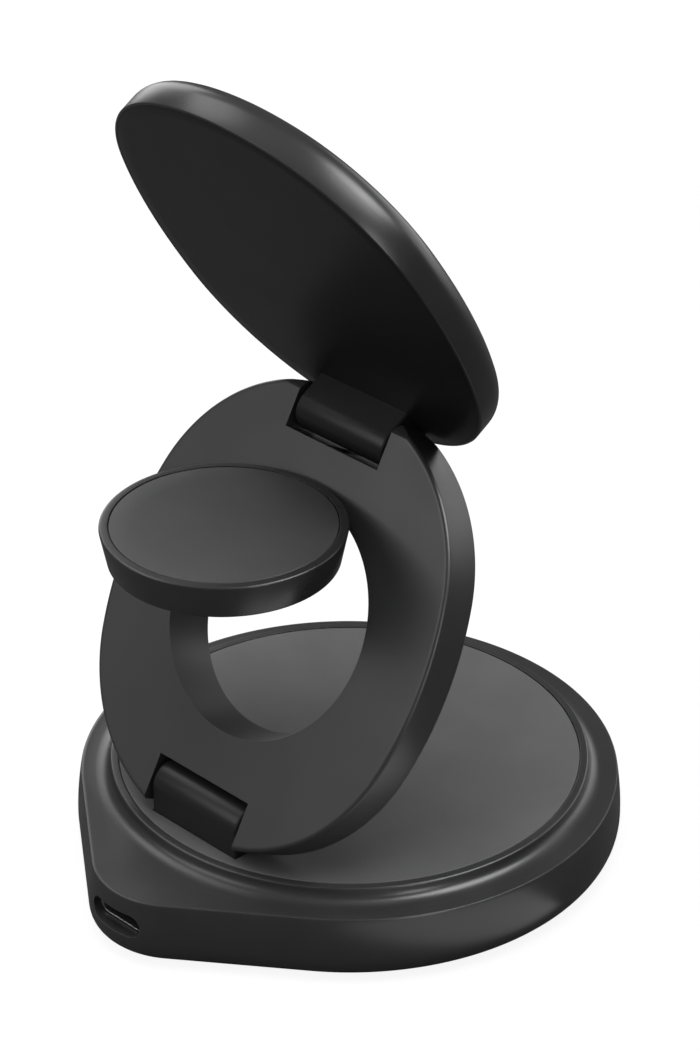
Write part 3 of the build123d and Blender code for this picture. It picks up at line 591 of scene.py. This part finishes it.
# %% [markdown]
# ## Finishes
# Every plastic here is a moulded black. What sets the pieces apart is how rough the surface
# is and how fine its grain. One helper builds each: a fine noise bumps the surface, a slow
# noise makes the gloss uneven, and the Bevel node rounds sharp edges so that they catch the
# light. The difference between the rounded and the true normal also finds the edges, which
# are painted a little paler: partly rubbed wear, partly a painted highlight along them. The
# watch puck's pad is a darker silicone than the other pads, so it has a finish of its own.


# %% Material helper
EDGE, GRAIN_DEPTH = 0.12, 0.04


def finish(
    name, colour, rough, grain=0.3, grain_size=0.25, uneven=0.06, edge_wear_and_highlight=0.5, metal=0.0, specular=0.5
):
    """A moulded or metal surface with grain, uneven gloss and paler edges (wear and painted highlight).
    Sizes in mm.
    """
    material = bpy.data.materials.new(name)
    material.use_nodes = True
    tree = material.node_tree
    add, link = tree.nodes.new, tree.links.new
    shader = tree.nodes["Principled BSDF"]
    shader.inputs["Metallic"].default_value = metal
    shader.inputs["Specular IOR Level"].default_value = specular
    place_of = add("ShaderNodeTexCoord").outputs["Object"]

    def noise(size, detail):
        node = add("ShaderNodeTexNoise")
        node.inputs["Scale"].default_value = 1000 / size
        node.inputs["Detail"].default_value = detail
        link(place_of, node.inputs["Vector"])
        return node.outputs["Fac"]

    def between(value, low_end, high_end, start=0.3, stop=0.7):
        node = add("ShaderNodeMapRange")
        node.inputs["From Min"].default_value = start
        node.inputs["From Max"].default_value = stop
        node.inputs["To Min"].default_value = low_end
        node.inputs["To Max"].default_value = high_end
        link(value, node.inputs["Value"])
        return node.outputs["Result"]

    rounded = add("ShaderNodeBevel")
    rounded.samples = 4
    rounded.inputs["Radius"].default_value = EDGE / 1000
    bump = add("ShaderNodeBump")
    bump.inputs["Strength"].default_value = grain
    bump.inputs["Distance"].default_value = GRAIN_DEPTH / 1000
    link(noise(grain_size, 4), bump.inputs["Height"])
    link(rounded.outputs["Normal"], bump.inputs["Normal"])
    link(bump.outputs["Normal"], shader.inputs["Normal"])
    link(between(noise(14, 3), rough - uneven, rough + uneven), shader.inputs["Roughness"])

    facing = add("ShaderNodeVectorMath")
    facing.operation = "DOT_PRODUCT"
    link(rounded.outputs["Normal"], facing.inputs[0])
    link(add("ShaderNodeNewGeometry").outputs["Normal"], facing.inputs[1])
    # Sharp edges are painted paler: partly rubbed wear, partly a painted highlight along them.
    worn_and_highlit_edges = between(facing.outputs["Value"], edge_wear_and_highlight, 0.0, 0.8, 0.995)
    tone = add("ShaderNodeMix")
    tone.data_type = "RGBA"
    link(between(noise(9, 4), 0, 1), tone.inputs["Factor"])
    tone.inputs["A"].default_value = (*[v * 0.92 for v in colour], 1)
    tone.inputs["B"].default_value = (*[v * 1.08 for v in colour], 1)
    worn_and_highlit_tone = add("ShaderNodeMix")
    worn_and_highlit_tone.data_type = "RGBA"
    link(worn_and_highlit_edges, worn_and_highlit_tone.inputs["Factor"])
    link(tone.outputs["Result"], worn_and_highlit_tone.inputs["A"])
    worn_and_highlit_tone.inputs["B"].default_value = (*[min(1, v * 2.5 + 0.03) for v in colour], 1)
    link(worn_and_highlit_tone.outputs["Result"], shader.inputs["Base Color"])
    return material


# %% Materials of every slot
finishes = {
    "base_plastic": finish("satin base plastic", (0.03, 0.03, 0.031), 0.32, 0.12, 0.3),
    "arm_plastic": finish("satin arm plastic", (0.032, 0.032, 0.033), 0.38, 0.15, 0.3),
    "arm_back": finish("matte arm back", (0.03, 0.03, 0.031), 0.5, 0.3, 0.25),
    "puck_plastic": finish("satin puck plastic", (0.026, 0.026, 0.027), 0.3, 0.12, 0.3),
    "disc_plastic": finish("satin disc plastic", (0.024, 0.024, 0.025), 0.32, 0.12, 0.3),
    "disc_gloss": finish(
        "semi-gloss disc cover", (0.01, 0.01, 0.011), 0.3, 0.03, 0.3, 0.02, edge_wear_and_highlight=0.2, specular=0.2
    ),
    "hinge_plastic": finish("satin hinge plastic", (0.018, 0.018, 0.019), 0.36, 0.15, 0.3, specular=0.25),
    "soft_pad": finish("soft silicone pad", (0.09, 0.09, 0.092), 0.6, 0.5, 0.2, edge_wear_and_highlight=0.2, specular=0.4),
    "puck_pad": finish("dark silicone pad", (0.05, 0.05, 0.051), 0.55, 0.5, 0.2, edge_wear_and_highlight=0.2, specular=0.4),
    "foot_rubber": finish("foot rubber", (0.025, 0.025, 0.025), 0.75, 0.7, 0.3),
    "port_metal": finish("port steel", (0.55, 0.55, 0.56), 0.3, 0.1, 0.2, metal=1.0),
    "port_plastic": finish("port plastic", (0.015, 0.015, 0.015), 0.5),
    "weight_steel": finish("weight steel", (0.4, 0.4, 0.4), 0.45, 0.3, 0.5, metal=1.0),
    "hinge_steel": finish("hinge steel", (0.45, 0.45, 0.45), 0.3, 0.1, 0.2, metal=1.0),
    "magnet": finish("nickel plate", (0.6, 0.58, 0.54), 0.22, 0.05, 0.2, metal=1.0),
    "bronze": finish("bronze sleeve", (0.5, 0.32, 0.14), 0.4, 0.3, 0.2, metal=1.0),
    "copper": finish("coil copper", (0.62, 0.28, 0.14), 0.35, 0.5, 0.3, metal=1.0),
    "ferrite": finish("ferrite sheet", (0.05, 0.05, 0.055), 0.55, 0.4, 0.4),
    "circuit_board": finish("circuit board", (0.01, 0.11, 0.05), 0.35, 0.2, 0.5),
}
slot_of = {entry["node"]: entry["material_slot"] for entry in frame["record"]["subparts"]}
for name, node in nodes.items():
    node.data.materials.clear()
    node.data.materials.append(finishes[slot_of[name]])
dressed = {
    "base_body": "base_plastic",
    "port_shell": "port_metal",
    "port_tongue": "port_plastic",
    "port_contacts": "port_metal",
    "base_pad": "soft_pad",
    "foot_sheet": "foot_rubber",
    "lower_hinge_block": "hinge_plastic",
    "disc_hinge_tongue": "hinge_plastic",
    "arm_shell": "arm_plastic",
    "arm_back_plate": "arm_back",
    "puck_housing": "puck_plastic",
    "puck_pad": "puck_pad",
    "disc_shell": "disc_plastic",
    "disc_inner_cover": "disc_gloss",
    "disc_outer_pad": "soft_pad",
}
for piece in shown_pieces():
    base_name = piece.name.split(".")[0]
    if piece.name not in nodes and base_name in dressed:
        piece.data.materials.clear()
        piece.data.materials.append(finishes[dressed[base_name]])
print("materials", len(finishes))

# %% [markdown]
# ## Studio
# The charger stands on a white floor. A big lamp above and one in front give the soft light.
# The others only show as shine: two keys high on the right and left draw the bright lines
# along the round edges, and lower ones behind and at the sides catch the rims. A small card
# on the floor lifts the base's wall. Black plastic only shows its shape against a dark room,
# so the floor and the sky are white to the camera but dim as light and in reflections. Near
# the charger the floor is a touch darker than white, so that a faint shadow shows.


# %% Floor, sky and lamps
def white_to_camera(tree, dim, glossy):
    """A value of 1 for camera and see-through rays, glossy for reflections, dim for light."""
    path = tree.nodes.new("ShaderNodeLightPath")
    level = dim
    for output, value in (("Is Glossy Ray", glossy), ("Is Transmission Ray", 1), ("Is Camera Ray", 1)):
        choice = tree.nodes.new("ShaderNodeMix")
        tree.links.new(path.outputs[output], choice.inputs["Factor"])
        if isinstance(level, float):
            choice.inputs["A"].default_value = level
        else:
            tree.links.new(level, choice.inputs["A"])
        choice.inputs["B"].default_value = value
        level = choice.outputs["Result"]
    return level


clear()
bpy.ops.mesh.primitive_plane_add(size=6, location=(0, 0, -0.0001))
floor = bpy.context.object
floor.name = "floor"
ground = bpy.data.materials.new("white floor")
ground.use_nodes = True
tree = ground.node_tree
add, link = tree.nodes.new, tree.links.new
surface = tree.nodes["Principled BSDF"]
surface.inputs["Base Color"].default_value = (0.12, 0.12, 0.12, 1)
surface.inputs["Roughness"].default_value = 0.9
surface.inputs["Specular IOR Level"].default_value = 0
surface.inputs["Emission Color"].default_value = (1, 1, 1, 1)

away = add("ShaderNodeVectorMath")
away.operation = "LENGTH"
link(add("ShaderNodeTexCoord").outputs["Object"], away.inputs[0])
lift = add("ShaderNodeMapRange")
lift.inputs["From Min"].default_value, lift.inputs["From Max"].default_value = 0.2, 0.5
lift.inputs["To Min"].default_value, lift.inputs["To Max"].default_value = 0.9, 1.0
link(away.outputs["Value"], lift.inputs["Value"])
shown = add("ShaderNodeMath")
shown.operation = "MULTIPLY"
link(lift.outputs["Result"], shown.inputs[0])
link(white_to_camera(tree, 0.0, 0.0), shown.inputs[1])
link(shown.outputs["Value"], surface.inputs["Emission Strength"])
floor.data.materials.append(ground)

scene = bpy.context.scene
scene.view_settings.view_transform = "Standard"
world = bpy.data.worlds.new("studio")
scene.world = world
world.use_nodes = True
sky = world.node_tree.nodes["Background"]
sky.inputs["Color"].default_value = (1, 1, 1, 1)
world.node_tree.links.new(white_to_camera(world.node_tree, 0.3, 0.12), sky.inputs["Strength"])
print("floor", floor.name, "sky", world.name)


def lamp(name, spot, width, height, power, seen_in="both", aim=(0, 0, 0.05)):
    """A soft rectangular lamp that looks at the charger, seen in shine, in soft light or both."""
    light = bpy.data.lights.new(name, "AREA")
    light.shape = "RECTANGLE"
    light.size, light.size_y, light.energy = width, height, power
    holder = bpy.data.objects.new(name, light)
    scene.collection.objects.link(holder)
    holder.location = spot
    holder.rotation_euler = (Vector(aim) - Vector(spot)).to_track_quat("-Z", "Y").to_euler()
    holder.visible_diffuse = seen_in != "shine"
    holder.visible_glossy = seen_in != "soft"
    holder.visible_camera = False


lamp("top", (0.05, -0.02, 0.8), 0.7, 0.7, 6.5, "soft")
lamp("front", (-0.3, -0.65, 0.45), 0.5, 0.4, 1.8)
lamp("key right", (0.44, 0.2, 0.66), 0.5, 0.45, 7.5, "shine")
lamp("key left", (-0.5, -0.08, 0.66), 0.45, 0.35, 1.5, "shine")
lamp("behind", (0.12, 0.8, 0.22), 0.9, 0.45, 2.2, "shine")
lamp("right", (0.7, -0.2, 0.12), 0.15, 0.5, 1.6, "shine")
lamp("left", (-0.7, 0.3, 0.25), 0.3, 0.5, 1.2, "shine")
lamp("card", (0.058, -0.022, 0.001), 0.035, 0.055, 0.007, "shine", aim=(0.058, -0.022, 1))

# %% [markdown]
# ## Camera
# The photograph's view was worked out from the object's own straight and round edges: 45
# degrees round to the right of the front, 30 degrees above the table, through a long lens.

# %% Camera
turn, rise, roll = radians(45.07), radians(30.17), radians(0.16)
aim = Vector((0, 0, 0.04815))
back = Vector((sin(turn) * cos(rise), -cos(turn) * cos(rise), sin(rise)))
right = Vector((0, 0, 1)).cross(back).normalized()
above = back.cross(right)
right, above = right * cos(roll) + above * sin(roll), above * cos(roll) - right * sin(roll)
camera = bpy.data.objects.new("camera", bpy.data.cameras.new("camera"))
scene.collection.objects.link(camera)
turning = Matrix((right, above, back)).transposed().to_4x4()
camera.matrix_world = Matrix.Translation(aim + 0.5032 * back) @ turning
camera.data.sensor_fit = "VERTICAL"
camera.data.sensor_height = 36
camera.data.lens = 3729 / 1050 * 36
scene.camera = camera
print("camera", [round(v, 4) for v in camera.location])
